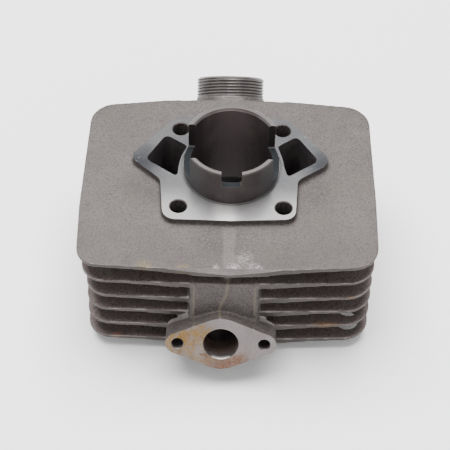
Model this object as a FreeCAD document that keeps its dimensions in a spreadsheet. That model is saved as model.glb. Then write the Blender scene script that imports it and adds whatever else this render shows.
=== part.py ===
import FreeCAD, Part
import math
import os
import Sketcher

# Cylinder barrel of a small horizontal two-stroke engine: an aluminium casting with six fins over a
# cast-iron liner. Millimetres. The origin is on the bore axis at the head-side face. +Z points to the
# crankcase, +Y to the exhaust stub and -Y to the intake flange.

V = FreeCAD.Vector
doc = FreeCAD.newDocument("cylinder_barrel")
sheet = doc.addObject("Spreadsheet::Sheet", "dims")
value = {}


def cell(alias, number, note=""):
    """One row of the sheet: its name, its number and what it is."""
    row = str(len(value) + 1)
    sheet.set("A" + row, alias)
    sheet.set("B" + row, repr(float(number)))
    if note:
        sheet.set("C" + row, note)
    sheet.setAlias("B" + row, alias)
    value[alias] = float(number)


def val(text):
    """The number of a sum such as "deck - lip + 2"."""
    total, sign = 0.0, 1.0
    for word in str(text).split():
        if word in "+-":
            sign = 1.0 if word == "+" else -1.0
        else:
            body_word = word.lstrip("-")
            flip = -1.0 if word.startswith("-") else 1.0
            number = value[body_word] if body_word in value else float(body_word)
            total, sign = total + sign * flip * number, 1.0
    return total


def expr(text):
    """The same sum as the document's own expression on the sheet."""
    out = []
    for word in str(text).split():
        bare = word.lstrip("-")
        if bare in value:
            word = ("-" if word.startswith("-") else "") + "dims." + bare
        out.append(word)
    return " ".join(out)


# ---- driving dimensions -------------------------------------------------------------------------
cell("deck", 68.0, "head face to crankcase gasket face")
cell("pad_rise", 3.8, "gasket pad above the top fin")
cell("core_r", 31.5, "barrel wall outside, head-side half")
cell("liner_r", 23.0, "liner outside")
cell("bore_r", 20.0, "cylinder bore")
cell("spigot", 19.7, "spigot standing into the crankcase")
cell("stud_x", 25.0, "half the stud spacing along X")
cell("stud_y", 25.0, "half the stud spacing along Y")
cell("stud_r", 4.0, "stud hole")
cell("stud_chamfer", 0.45)
cell("boss_r", 7.6, "boss around a stud hole")
cell("relief_r", 23.5, "inner edge of the relief round the liner")
cell("relief_out", 24.3, "outer edge of the relief")
cell("relief_deep", 0.6)

cell("fin_half", 1.2, "half a fin's thickness, midway out")
cell("fin_tip", 0.7, "half its thickness at the tip")
cell("fin_in_up", 1.7, "rise of a fin's top near the barrel")
cell("fin_in_dn", 2.8, "drop of its underside near the barrel")
cell("fin_mid_up", 1.9)
cell("fin_mid_dn", 3.4)
cell("fin_b", 50.6, "mid-height of each lower fin")
cell("fin_c", 39.1)
cell("fin_d", 28.8)
cell("fin_e", 17.9)
cell("fin_f", 6.9)
cell("tip_x", 72.0)
cell("mid_x", 40.0)
cell("near_x", 18.0)
cell("slab_y", 140.0, "length of the fin slabs before trimming")

cell("exhaust_tilt", 40.0, "exhaust axis above the fins")
cell("exhaust_x", -0.7)
cell("exhaust_y", 69.6, "centre of the stub's rim")
cell("exhaust_z", 58.6)
cell("stub_r", 17.0, "M34 x 1.5 thread outside")
cell("stub_thread", 10.4, "threaded length")
cell("stub_root_r", 17.2, "plain duct behind the thread")
cell("thread_pitch", 1.5)
cell("thread_deep", 0.8)
cell("exhaust_len", 20.0, "straight length from the rim")
cell("exhaust_bore", 12.5)

cell("duct_x", 2.3, "intake duct block, offset of its centre")
cell("duct_half", 16.7)
cell("flange_tilt", 20.0, "intake face, tilted to the crankcase")
cell("flange_x", -3.6)
cell("flange_y", -74.0)
cell("flange_z", 25.0)
cell("flange_thick", 14.0)
cell("flange_r", 14.2)
cell("ear_x", 20.6, "half the intake screw spacing")
cell("ear_r", 5.8)
cell("ear_hole", 2.75)
cell("intake_r", 8.3)
cell("corner_x", 58.2, "tool hole through the two fins nearest the head")
cell("corner_y", -45.0)
cell("corner_r", 5.7)

cell("port_exhaust_lo", 26.0)
cell("port_exhaust_hi", 39.0)
cell("port_exhaust_half", 11.5)
cell("port_side_lo", 31.0)
cell("port_side_hi", 39.5)
cell("port_side_half", 7.5)
cell("port_intake_lo", 43.5)
cell("port_intake_hi", 57.0)
cell("port_intake_half", 9.0)
cell("notch_side_front", -12.0, "side notches of the spigot")
cell("notch_side_back", 9.6)
cell("notch_side_floor", 72.3)
cell("notch_front_half", 4.85)
cell("notch_front_floor", 79.8)
cell("frame_out", 110.0, "clear of every outline")
cell("trim_top", 54.8, "between the top fin and the next")
cell("trim_low", 45.0, "between the second fin and the third")
cell("top_tip", 1.5, "its thickness at the tip")
cell("top_half", 3.0, "midway out")
cell("top_near", 4.9)
cell("top_mid", 5.6)
cell("clear_x", 90.0)
cell("wing_foot", 26.0, "where the passage walls run out")
cell("duct_left", -19.0)
cell("duct_right", 14.2)
cell("duct_ridge", -1.2)
cell("duct_back", -26.0)
cell("duct_draft", 0.8, "ridge in front of the corners")
cell("duct_round", 3.0, "front corners")
cell("neck_r", 13.0, "round neck behind the flange")
cell("neck_len", 26.0)
cell("web_half", 2.1, "web on the parting line under the top fin")
cell("web_front", -57.4)
cell("web_back", -38.0)
cell("web_foot", 47.0)
cell("passage_deep", 35.0)
cell("turn_round", 3.0)
cell("turn_half", 8.5)
cell("turn_reach", 66.0)
cell("exhaust_bend", 30.0, "bend of the exhaust duct")
cell("exhaust_rise", 18.0, "its slope at the liner")
cell("passage_straight", 14.0, "straight bore of the intake")
cell("passage_bend", 18.0)
cell("passage_rise", 52.0, "its slope at the liner")
cell("liner_top", 87.7, "spigot rim above the head face")
cell("mouth_in", 0.9, "chamfer of the bore mouth")
cell("mouth_out", 0.5)
cell("above", 95.0)
cell("notch_round", 1.2)
cell("reach", 30.0)
cell("window_round", 2.5)

# ---- outlines: (x, y, corner radius) ------------------------------------------------------------
TOP_FIN = [
    (0, -60.6, 0), (69.5, -57.1, 13), (69.7, -17, 0), (68.3, 44.8, 13), (34, 48.3, 0),
    (0, 50.3, 0), (-34, 48.1, 0), (-69.6, 43.6, 13), (-72.4, -23, 0), (-71.9, -58.0, 10.5),
]
SECOND_FIN = [
    (0, -59.6, 0), (68.8, -56.2, 13), (68.4, -16, 0), (66.8, 44.2, 10), (0, 48.2, 0),
    (-68.6, 43.8, 10), (-70.3, -22, 0), (-70.1, -57.2, 11),
]
LOWER_FIN = [
    (0, -59.4, 0), (68.6, -56.0, 13), (68.2, -16, 0), (66.6, 44.0, 10), (0, 48.0, 0),
    (-66.8, 43.6, 10), (-68.4, -22, 0), (-68.2, -57.0, 11),
]
PAD = [
    (0, -33.75, 0), (30.5, -32.1, 5.5), (32.1, -7.4, 5), (49.6, 4.75, 6.5), (27.1, 33.1, 6),
    (0, 33.2, 0), (-27.3, 33.1, 6), (-49.7, 6.2, 4.9), (-34.1, -8.0, 6), (-32.3, -33.0, 6.5),
]
PASSAGE_LEFT = [
    (-26.0, -6.3, 1.2), (-41.6, 4.9, 2.8), (-32.1, 20.9, 2.4), (-21.5, 13.7, 1.6), (-24.4, 7.0, 18), (-25.5, 0.6, 18),
]
PASSAGE_RIGHT = [
    (27.2, -5.4, 1.2), (42.4, 5.3, 3.0), (32.0, 21.1, 2.4), (22.6, 14.2, 1.6), (24.7, 7.0, 18), (25.7, 0.6, 18),
]


# The intake duct's front: (height, y).
DUCT = [(62.0, -39.0), (52.6, -43.5), (50.2, -59.4), (25.0, -66.3), (7.5, -62.5)]


def corner_names(prefix, i):
    return [f"{prefix}_{'abcdefghijklmnop'[i]}_{w}" for w in ("across", "along", "round")]


for prefix, corners in (
    ("second", SECOND_FIN), ("lower", LOWER_FIN), ("top", TOP_FIN), ("pad", PAD), ("transfer_left", PASSAGE_LEFT), ("transfer_right", PASSAGE_RIGHT),
):
    for i, corner in enumerate(corners):
        for name, number in zip(corner_names(prefix, i), corner):
            if number or not name.endswith("round"):
                cell(name, number)
for k, (height, front) in enumerate(DUCT):
    cell(f"duct_level_{'abcde'[k]}", height)
    cell(f"duct_front_{'abcde'[k]}", front)
doc.recompute()


def origin_plane(body, role):
    return next(f for f in body.Origin.OriginFeatures if f.Role == role)


def sketch_on(body, role, name, at=("0", "0", "0"), tilt=None):
    """A sketch on one of the body's own origin planes, moved along it and above it, and tilted about its own X."""
    sk = body.newObject("Sketcher::SketchObject", name)
    sk.AttachmentSupport = [(origin_plane(body, role), "")]
    sk.MapMode = "FlatFace"
    turn = FreeCAD.Rotation(V(1, 0, 0), 0)
    if tilt:
        turn = FreeCAD.Rotation(V(1, 0, 0), val(tilt))
    sk.AttachmentOffset = FreeCAD.Placement(V(*(val(a) for a in at)), turn)
    for axis, text in zip("xyz", at):
        if any(w.lstrip("-") in value for w in text.split()):
            sk.setExpression("AttachmentOffset.Base." + axis, expr(text))
    if tilt:
        sk.setExpression("AttachmentOffset.Rotation.Angle", expr(tilt))
    return sk


def ring(sk, corners, prefix=None):
    """A closed outline with rounded corners, given by its sharp corners and their radii. Each sharp corner is a
    dimensioned construction point that the two lines beside it run through. With a prefix each corner's place and
    radius comes from cells of its own in the sheet."""
    n = len(corners)
    rows = []
    for i, (x, y, r) in enumerate(corners):
        if prefix:
            names = corner_names(prefix, i)
            x, y, r = names[0], names[1], names[2] if r else 0
        rows.append((x, y, r))
    pts = [V(val(x), val(y), 0) for x, y, _ in rows]
    cuts = []
    for i in range(n):
        r = val(rows[i][2]) if rows[i][2] else 0.0
        back, fore = (pts[i - 1] - pts[i]).normalize(), (pts[(i + 1) % n] - pts[i]).normalize()
        half = math.acos(max(-1.0, min(1.0, back.dot(fore)))) / 2
        d = r / math.tan(half) if r else 0.0
        centre = pts[i] + (back + fore).normalize() * (r / math.sin(half)) if r else None
        cuts.append((pts[i] + back * d, pts[i] + fore * d, centre, r))
    geo, con = [], []
    lines, arcs = {}, {}
    for i in range(n):
        lines[i] = len(geo)
        geo.append(Part.LineSegment(cuts[i][1], cuts[(i + 1) % n][0]))
    first = sk.GeometryCount
    for i in range(n):
        a, b, c, r = cuts[i]
        if not r:
            continue
        arcs[i] = len(geo)
        s, e = math.atan2(a.y - c.y, a.x - c.x), math.atan2(b.y - c.y, b.x - c.x)
        if (e - s) % (2 * math.pi) > math.pi:
            s, e = e, s
        geo.append(Part.ArcOfCircle(Part.Circle(c, V(0, 0, 1), r), s, e))
    sk.addGeometry(geo, False)
    marks = {}
    for i in range(n):
        if rows[i][2]:
            marks[i] = sk.GeometryCount
            sk.addGeometry(Part.Point(pts[i]), True)
    bound = []
    for i in range(n):
        before, after = first + lines[(i - 1) % n], first + lines[i]
        x, y, r = rows[i]
        if r:
            arc = first + arcs[i]
            ends = {w: sk.getPoint(arc, w) for w in (1, 2)}
            at = 1 if ends[1].distanceToPoint(cuts[i][0]) < 1e-6 else 2
            con.append(Sketcher.Constraint("Tangent", before, 2, arc, at))
            con.append(Sketcher.Constraint("Tangent", after, 1, arc, 3 - at))
            con.append(Sketcher.Constraint("PointOnObject", marks[i], 1, before))
            con.append(Sketcher.Constraint("PointOnObject", marks[i], 1, after))
            spot = (marks[i], 1)
            bound.append((Sketcher.Constraint("Radius", arc, val(r)), r))
        else:
            con.append(Sketcher.Constraint("Coincident", before, 2, after, 1))
            spot = (after, 1)
        bound.append((Sketcher.Constraint("DistanceX", -1, 1, spot[0], spot[1], val(x)), x))
        bound.append((Sketcher.Constraint("DistanceY", -1, 1, spot[0], spot[1], val(y)), y))
    sk.addConstraint(con)
    for c, text in bound:
        i = sk.addConstraint(c)
        if any(w.lstrip("-") in value for w in str(text).split()):
            sk.renameConstraint(i, f"c{i}")
            sk.setExpression(f"Constraints.c{i}", expr(text))


def circle(sk, x, y, r):
    i = sk.addGeometry(Part.Circle(V(val(x), val(y), 0), V(0, 0, 1), val(r)), False)
    for c, text in (
        (Sketcher.Constraint("DistanceX", -1, 1, i, 3, val(x)), x),
        (Sketcher.Constraint("DistanceY", -1, 1, i, 3, val(y)), y),
        (Sketcher.Constraint("Radius", i, val(r)), r),
    ):
        k = sk.addConstraint(c)
        if any(w.lstrip("-") in value for w in str(text).split()):
            sk.renameConstraint(k, f"c{k}")
            sk.setExpression(f"Constraints.c{k}", expr(text))


def feature(body, kind, name, sk, length=None, reverse=False, midplane=False, through=False):
    f = body.newObject("PartDesign::" + kind, name)
    f.Profile = sk
    if through:
        f.Type = 1
    else:
        f.Length = val(length)
        f.setExpression("Length", expr(length) if any(w.lstrip("-") in value for w in str(length).split()) else None)
    f.Midplane = midplane
    f.Reversed = reverse
    f.Refine = False
    sk.Visibility = False
    return f


def volume_after(body, was, grows, name):
    """Recomputes and makes sure that the last feature added or cut something."""
    doc.recompute()
    bad = [(o.Name, o.State, o.getStatusString()) for o in doc.Objects if "Invalid" in o.State or "Error" in o.State]
    assert not bad, (name, bad)
    now = body.Shape.Volume
    assert (now > was + 0.5) if grows else (now < was - 0.5), (name, was, now)
    return now


# ---- the casting --------------------------------------------------------------------------------
jacket = doc.addObject("PartDesign::Body", "jacket")
jacket.Label = "finned_jacket"

# The barrel wall up to the top fin.
sk = sketch_on(jacket, "XY_Plane", "barrel_outline")
circle(sk, "0", "0", "core_r")
feature(jacket, "Pad", "barrel_wall", sk, "deck - pad_rise")
doc.recompute()

# Four bosses carry the stud holes through the fins.
sk = sketch_on(jacket, "XY_Plane", "stud_boss_outline")
circle(sk, "stud_x", "stud_y", "boss_r")
boss = feature(jacket, "Pad", "stud_boss", sk, "deck - pad_rise")
doc.recompute()
bosses = jacket.newObject("PartDesign::PolarPattern", "stud_bosses")
bosses.Originals = [boss]
bosses.Axis = (sk, ["N_Axis"])
bosses.Angle = 360
bosses.Occurrences = 4
bosses.Refine = False
jacket.Tip = bosses
vol = volume_after(jacket, 0, True, "bosses")

# Six fins, thick at the barrel and thin at the tip, because the two mould halves part on X = 0.
sk = sketch_on(jacket, "XZ_Plane", "fin_profile")
for name in ("fin_b", "fin_c", "fin_d", "fin_e", "fin_f"):
    ring(sk, [
        ("-tip_x", f"{name} + fin_tip", 0), ("-mid_x", f"{name} + fin_half", 0), ("-near_x", f"{name} + fin_in_up", 0),
        ("0", f"{name} + fin_mid_up", 0), ("near_x", f"{name} + fin_in_up", 0), ("mid_x", f"{name} + fin_half", 0),
        ("tip_x", f"{name} + fin_tip", 0), ("tip_x", f"{name} - fin_tip", 0), ("mid_x", f"{name} - fin_half", 0),
        ("near_x", f"{name} - fin_in_dn", 0), ("0", f"{name} - fin_mid_dn", 0), ("-near_x", f"{name} - fin_in_dn", 0),
        ("-mid_x", f"{name} - fin_half", 0), ("-tip_x", f"{name} - fin_tip", 0),
    ][::-1])
feature(jacket, "Pad", "fin_slabs", sk, "slab_y", midplane=True)
vol = volume_after(jacket, vol, True, "fins")

# The second fin is a little longer than the four below it.
for outline, prefix, height in ((SECOND_FIN, "second", "trim_top"), (LOWER_FIN, "lower", "trim_low")):
    sk = sketch_on(jacket, "XY_Plane", f"{prefix}_fin_outline", ("0", "0", height))
    ring(sk, outline, prefix)
    ring(sk, [("-frame_out", "-frame_out", 0), ("frame_out", "-frame_out", 0), ("frame_out", "frame_out", 0), ("-frame_out", "frame_out", 0)])
    feature(jacket, "Pocket", f"{prefix}_fins_trimmed", sk, through=True)
    vol = volume_after(jacket, vol, False, f"{prefix} trim")

# The top fin: flat on the crankcase side, with the same taper underneath. It overhangs the others a little.
sk = sketch_on(jacket, "XY_Plane", "top_fin_outline", ("0", "0", "deck - pad_rise"))
ring(sk, TOP_FIN, "top")
feature(jacket, "Pad", "top_fin", sk, "top_mid", reverse=True)
vol = volume_after(jacket, vol, True, "top fin")
sk = sketch_on(jacket, "XZ_Plane", "top_fin_underside")
for s in ("-", ""):
    corners = [
        (f"{s}near_x", "deck - pad_rise - top_near", 0), (f"{s}mid_x", "deck - pad_rise - top_half", 0),
        (f"{s}clear_x", "deck - pad_rise - top_tip", 0), (f"{s}clear_x", "trim_top + 1", 0), (f"{s}near_x", "trim_top + 1", 0),
    ]
    ring(sk, corners if s else corners[::-1])
cut = feature(jacket, "Pocket", "top_fin_taper", sk, "slab_y", midplane=True)
vol = volume_after(jacket, vol, False, "top taper")

# The wall round the transfer passages ends in the gasket pad.
sk = sketch_on(jacket, "XY_Plane", "pad_outline", ("0", "0", "wing_foot"))
ring(sk, PAD, "pad")
feature(jacket, "Pad", "gasket_pad", sk, "deck - wing_foot")
vol = volume_after(jacket, vol, True, "pad")

# Intake duct: a column across the fins' front edges that leans out to the flange. Its front comes to a slight
# ridge where the mould halves part.
sections = []
for k in range(len(DUCT)):
    sk = sketch_on(jacket, "XY_Plane", f"duct_section_{'abcde'[k]}", ("0", "0", f"duct_level_{'abcde'[k]}"))
    face = f"duct_front_{'abcde'[k]}"
    ring(sk, [
        ("duct_left", "duct_back", 0), ("duct_left", face + " + duct_draft", "duct_round"), ("duct_ridge", face, 0),
        ("duct_right", face + " + duct_draft", "duct_round"), ("duct_right", "duct_back", 0),
    ])
    sections.append(sk)
duct = jacket.newObject("PartDesign::AdditiveLoft", "intake_duct")
duct.Profile = sections[0]
duct.Sections = [(s, "") for s in sections[1:]]
duct.Ruled = True
duct.Refine = False
for s in sections:
    s.Visibility = False
vol = volume_after(jacket, vol, True, "intake duct")

# Its flange: a rhomb with round ends, square to the carburettor's axis.
sk = sketch_on(jacket, "XZ_Plane", "intake_flange_outline", ("flange_x", "flange_z", "-flange_y"), "-flange_tilt")
big, small, ex = value["flange_r"], value["ear_r"], value["ear_x"]
lean = math.asin((big - small) / ex)
nx, ny = math.sin(lean), math.cos(lean)
pieces = []
for sx, sy in ((1, 1), (-1, 1), (-1, -1), (1, -1)):
    pieces.append((V(sx * big * nx, sy * big * ny, 0), V(sx * (ex + small * nx), sy * small * ny, 0)))
g = [Part.LineSegment(*pieces[0]), Part.LineSegment(pieces[1][1], pieces[1][0]), Part.LineSegment(*pieces[2]), Part.LineSegment(pieces[3][1], pieces[3][0])]
a0 = math.pi / 2 - lean
g += [
    Part.ArcOfCircle(Part.Circle(V(0, 0, 0), V(0, 0, 1), big), a0, math.pi - a0),
    Part.ArcOfCircle(Part.Circle(V(-ex, 0, 0), V(0, 0, 1), small), math.pi - a0, math.pi + a0),
    Part.ArcOfCircle(Part.Circle(V(0, 0, 0), V(0, 0, 1), big), math.pi + a0, 2 * math.pi - a0),
    Part.ArcOfCircle(Part.Circle(V(ex, 0, 0), V(0, 0, 1), small), -a0, a0),
]
sk.addGeometry(g, False)
sk.addConstraint([
    Sketcher.Constraint("Tangent", 0, 1, 4, 1), Sketcher.Constraint("Tangent", 4, 2, 1, 2),
    Sketcher.Constraint("Tangent", 1, 1, 5, 1), Sketcher.Constraint("Tangent", 5, 2, 2, 2),
    Sketcher.Constraint("Tangent", 2, 1, 6, 1), Sketcher.Constraint("Tangent", 6, 2, 3, 2),
    Sketcher.Constraint("Tangent", 3, 1, 7, 1), Sketcher.Constraint("Tangent", 7, 2, 0, 2),
    Sketcher.Constraint("Coincident", 4, 3, -1, 1), Sketcher.Constraint("Coincident", 6, 3, -1, 1),
    Sketcher.Constraint("PointOnObject", 5, 3, -1), Sketcher.Constraint("PointOnObject", 7, 3, -1),
    Sketcher.Constraint("Equal", 5, 7),
])
for c, text in (
    (Sketcher.Constraint("Radius", 4, big), "flange_r"), (Sketcher.Constraint("Radius", 7, small), "ear_r"),
    (Sketcher.Constraint("DistanceX", -1, 1, 7, 3, ex), "ear_x"), (Sketcher.Constraint("DistanceX", 5, 3, -1, 1, ex), "ear_x"),
):
    k = sk.addConstraint(c)
    sk.renameConstraint(k, f"c{k}")
    sk.setExpression(f"Constraints.c{k}", expr(text))
feature(jacket, "Pad", "intake_flange", sk, "flange_thick", reverse=True)
vol = volume_after(jacket, vol, True, "intake flange")

sk = sketch_on(jacket, "XZ_Plane", "intake_neck_outline", ("flange_x", "flange_z", "-flange_y"), "-flange_tilt")
circle(sk, "0", "0", "neck_r")
feature(jacket, "Pad", "intake_neck", sk, "neck_len", reverse=True)
vol = volume_after(jacket, vol, True, "intake neck")

# The web under the top fin where the mould halves part.
sk = sketch_on(jacket, "XY_Plane", "parting_web_outline", ("0", "0", "web_foot"))
ring(sk, [
    ("duct_ridge - web_half", "web_front + 1.2", 0), ("duct_ridge", "web_front", 0), ("duct_ridge + web_half", "web_front + 1.2", 0),
    ("duct_ridge + web_half", "web_back", 0), ("duct_ridge - web_half", "web_back", 0),
])
feature(jacket, "Pad", "parting_web", sk, "deck - pad_rise - web_foot - 1")
vol = volume_after(jacket, vol, True, "parting web")

# Exhaust duct: straight behind the rim, then bent to run flatter into the exhaust port. The stub takes the
# thread, and the duct behind it is plain and a little fuller.
TO_STUB = ("exhaust_x", "exhaust_z", "-exhaust_y")


def exhaust_path(name, start):
    """The duct's centre line from a distance behind the rim to the inside of the barrel wall."""
    tilt, low, r = math.radians(value["exhaust_tilt"]), math.radians(value["exhaust_rise"]), value["exhaust_bend"]
    rim = V(value["exhaust_y"], value["exhaust_z"], 0)
    inward = V(-math.cos(tilt), -math.sin(tilt), 0)
    a, b = rim + inward * start, rim + inward * value["exhaust_len"]
    hub = b + V(-math.sin(tilt), math.cos(tilt), 0) * r
    c = hub + V(math.sin(low), -math.cos(low), 0) * r
    d = c + V(-math.cos(low), -math.sin(low), 0) * ((c.x - 21.0) / math.cos(low))
    sk = sketch_on(jacket, "YZ_Plane", name, ("0", "0", "exhaust_x"))
    sk.addGeometry([
        Part.LineSegment(a, b), Part.ArcOfCircle(Part.Circle(hub, V(0, 0, 1), r), low - math.pi / 2, tilt - math.pi / 2),
        Part.LineSegment(c, d),
    ], False)
    sk.addConstraint([
        Sketcher.Constraint("Tangent", 0, 2, 1, 2), Sketcher.Constraint("Tangent", 1, 1, 2, 1),
        Sketcher.Constraint("DistanceX", -1, 1, 0, 1, a.x), Sketcher.Constraint("DistanceY", -1, 1, 0, 1, a.y),
    ])
    sk.Visibility = False
    return sk


def pipe(kind, name, path, section):
    f = jacket.newObject("PartDesign::" + kind, name)
    f.Profile = section
    f.Spine = (path, ["Edge1", "Edge2", "Edge3"])
    f.Refine = False
    section.Visibility = False
    return f


sk = sketch_on(jacket, "XZ_Plane", "exhaust_stub_outline", TO_STUB, "180 + exhaust_tilt")
circle(sk, "0", "0", "stub_r")
feature(jacket, "Pad", "exhaust_stub", sk, "exhaust_len", reverse=True)
vol = volume_after(jacket, vol, True, "exhaust stub")
path = exhaust_path("exhaust_duct_path", value["stub_thread"])
sk = sketch_on(jacket, "XZ_Plane", "exhaust_duct_section", TO_STUB, "180 + exhaust_tilt")
circle(sk, "0", "0", "stub_root_r")
sk.setExpression("AttachmentOffset.Base.y", "dims.exhaust_z - sin(dims.exhaust_tilt * 1 deg) * dims.stub_thread")
sk.setExpression("AttachmentOffset.Base.z", "-dims.exhaust_y + cos(dims.exhaust_tilt * 1 deg) * dims.stub_thread")
pipe("AdditivePipe", "exhaust_duct", path, sk)
vol = volume_after(jacket, vol, True, "exhaust duct")

# ---- openings and machining ---------------------------------------------------------------------
# The stud bosses pass through the pad and the head face, and the studs run through them.
sk = sketch_on(jacket, "XY_Plane", "stud_hole_outline")
for sx, sy in (("", ""), ("-", ""), ("-", "-"), ("", "-")):
    circle(sk, sx + "stud_x", sy + "stud_y", "stud_r")
feature(jacket, "Pocket", "stud_holes", sk, through=True, midplane=True)
vol = volume_after(jacket, vol, False, "stud holes")
# The seat that the liner is pressed into, and the relief round it in the gasket face.
sk = sketch_on(jacket, "XY_Plane", "liner_seat_outline")
circle(sk, "0", "0", "liner_r")
feature(jacket, "Pocket", "liner_seat", sk, through=True, midplane=True)
vol = volume_after(jacket, vol, False, "liner seat")
sk = sketch_on(jacket, "XY_Plane", "relief_outline", ("0", "0", "deck"))
circle(sk, "0", "0", "relief_out")
circle(sk, "0", "0", "relief_r")
feature(jacket, "Pocket", "liner_relief", sk, "relief_deep")
vol = volume_after(jacket, vol, False, "relief")

# Transfer passages: down from the gasket face, then in to the liner's side windows.
for side, outline in (("left", PASSAGE_LEFT), ("right", PASSAGE_RIGHT)):
    sk = sketch_on(jacket, "XY_Plane", f"transfer_{side}_outline", ("0", "0", "deck"))
    ring(sk, outline, f"transfer_{side}")
    feature(jacket, "Pocket", f"transfer_{side}", sk, "passage_deep")
    vol = volume_after(jacket, vol, False, f"transfer {side}")
sk = sketch_on(jacket, "YZ_Plane", "transfer_turn_outline")
ring(sk, [("-turn_half + 1.5", "port_side_lo - 1", "turn_round"), ("turn_half + 1.5", "port_side_lo - 1", "turn_round"), ("turn_half + 1.5", "port_side_hi + 3", "turn_round"), ("-turn_half + 1.5", "port_side_hi + 3", "turn_round")])
feature(jacket, "Pocket", "transfer_turns", sk, "turn_reach", midplane=True)
vol = volume_after(jacket, vol, False, "transfer turns")

# Exhaust bore.
path = exhaust_path("exhaust_bore_path", 0.0)
sk = sketch_on(jacket, "XZ_Plane", "exhaust_bore_section", TO_STUB, "180 + exhaust_tilt")
circle(sk, "0", "0", "exhaust_bore")
pipe("SubtractivePipe", "exhaust_bore_cut", path, sk)
vol = volume_after(jacket, vol, False, "exhaust bore")

# The intake runs straight in from the flange, then turns up to the liner's intake window.
tilt = math.radians(value["flange_tilt"])
start = V(value["flange_y"], value["flange_z"], 0)
run = V(math.cos(tilt), -math.sin(tilt), 0)
bend, rise = value["passage_bend"], math.radians(value["passage_rise"])
foot = start + run * value["passage_straight"]
hub = foot + V(math.sin(tilt), math.cos(tilt), 0) * bend
top = hub + V(math.sin(rise), -math.cos(rise), 0) * bend
end = top + V(math.cos(rise), math.sin(rise), 0) * ((-21.0 - top.x) / math.cos(rise))
sk = sketch_on(jacket, "YZ_Plane", "intake_passage_path", ("0", "0", "flange_x"))
sk.addGeometry([
    Part.LineSegment(start, foot),
    Part.ArcOfCircle(Part.Circle(hub, V(0, 0, 1), bend), -math.pi / 2 - tilt, -math.pi / 2 + rise),
    Part.LineSegment(top, end),
], False)
sk.addConstraint([
    Sketcher.Constraint("Tangent", 0, 2, 1, 1), Sketcher.Constraint("Tangent", 1, 2, 2, 1),
    Sketcher.Constraint("DistanceX", -1, 1, 0, 1, start.x), Sketcher.Constraint("DistanceY", -1, 1, 0, 1, start.y),
])
sk.Visibility = False
path = sk
sk = sketch_on(jacket, "XZ_Plane", "intake_passage_section", ("flange_x", "flange_z", "-flange_y"), "-flange_tilt")
circle(sk, "0", "0", "intake_r")
pipe("SubtractivePipe", "intake_passage", path, sk)
vol = volume_after(jacket, vol, False, "intake passage")

sk = sketch_on(jacket, "XZ_Plane", "intake_screw_outline", ("flange_x", "flange_z", "-flange_y"), "-flange_tilt")
circle(sk, "ear_x", "0", "ear_hole")
circle(sk, "-ear_x", "0", "ear_hole")
feature(jacket, "Pocket", "intake_screw_holes", sk, "flange_thick")
vol = volume_after(jacket, vol, False, "intake screws")

# The tool hole through the two fins nearest the head.
sk = sketch_on(jacket, "XY_Plane", "corner_hole_outline", ("0", "0", "fin_d - 4"))
circle(sk, "corner_x", "corner_y", "corner_r")
tool_hole = feature(jacket, "Pocket", "corner_hole", sk, through=True)
tool_hole.Refine = True
vol = volume_after(jacket, vol, False, "corner hole")

# The stud holes are broken at both faces.
mouths = []
for i, e in enumerate(jacket.Shape.Edges):
    if e.Curve.TypeId == "Part::GeomCircle" and abs(e.Curve.Radius - value["stud_r"]) < 1e-6 and e.BoundBox.ZLength < 1e-6:
        if min(abs(e.BoundBox.ZMin - value["deck"]), abs(e.BoundBox.ZMin)) < 1e-6:
            mouths.append(f"Edge{i + 1}")
drilled = jacket.Tip
assert len(mouths) >= 8, mouths
chamfer = jacket.newObject("PartDesign::Chamfer", "stud_hole_chamfers")
chamfer.Base = (drilled, mouths)
chamfer.Size = value["stud_chamfer"]
chamfer.setExpression("Size", "dims.stud_chamfer")
vol = volume_after(jacket, vol, False, "stud chamfers")

# The thread goes on last, with the chamfer of the rim.
sk = sketch_on(jacket, "YZ_Plane", "exhaust_thread_profile", ("0", "0", "exhaust_x"))
tilt = math.radians(value["exhaust_tilt"])
rim = V(value["exhaust_y"], value["exhaust_z"], 0)
inward, outward = V(-math.cos(tilt), -math.sin(tilt), 0), V(-math.sin(tilt), math.cos(tilt), 0)
pitch, deep, r = value["thread_pitch"], value["thread_deep"], value["stub_r"]
for k in range(6):
    s0 = 2.0 + k * pitch
    tri = [rim + inward * (s0 - 0.62 * pitch / 2 - 0.2) + outward * (r + 0.2), rim + inward * (s0 + 0.62 * pitch / 2 + 0.2) + outward * (r + 0.2), rim + inward * s0 + outward * (r - deep)]
    g0 = sk.GeometryCount
    sk.addGeometry([Part.LineSegment(tri[0], tri[1]), Part.LineSegment(tri[1], tri[2]), Part.LineSegment(tri[2], tri[0])], False)
    sk.addConstraint([Sketcher.Constraint("Coincident", g0 + j, 2, g0 + (j + 1) % 3, 1) for j in range(3)])
edge = [rim - inward * 0.3 + outward * (r - 1.2), rim + inward * 1.2 + outward * (r + 0.3), rim - inward * 0.3 + outward * (r + 0.3)]
g0 = sk.GeometryCount
sk.addGeometry([Part.LineSegment(edge[j], edge[(j + 1) % 3]) for j in range(3)], False)
sk.addConstraint([Sketcher.Constraint("Coincident", g0 + j, 2, g0 + (j + 1) % 3, 1) for j in range(3)])
axis = sk.addGeometry(Part.LineSegment(rim + inward * 40, rim + outward * 0), True)
groove = jacket.newObject("PartDesign::Groove", "exhaust_thread")
groove.Profile = sk
groove.ReferenceAxis = (sk, ["Axis0"])
groove.Angle = 360
groove.Refine = False
sk.Visibility = False
vol = volume_after(jacket, vol, False, "thread")


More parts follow.
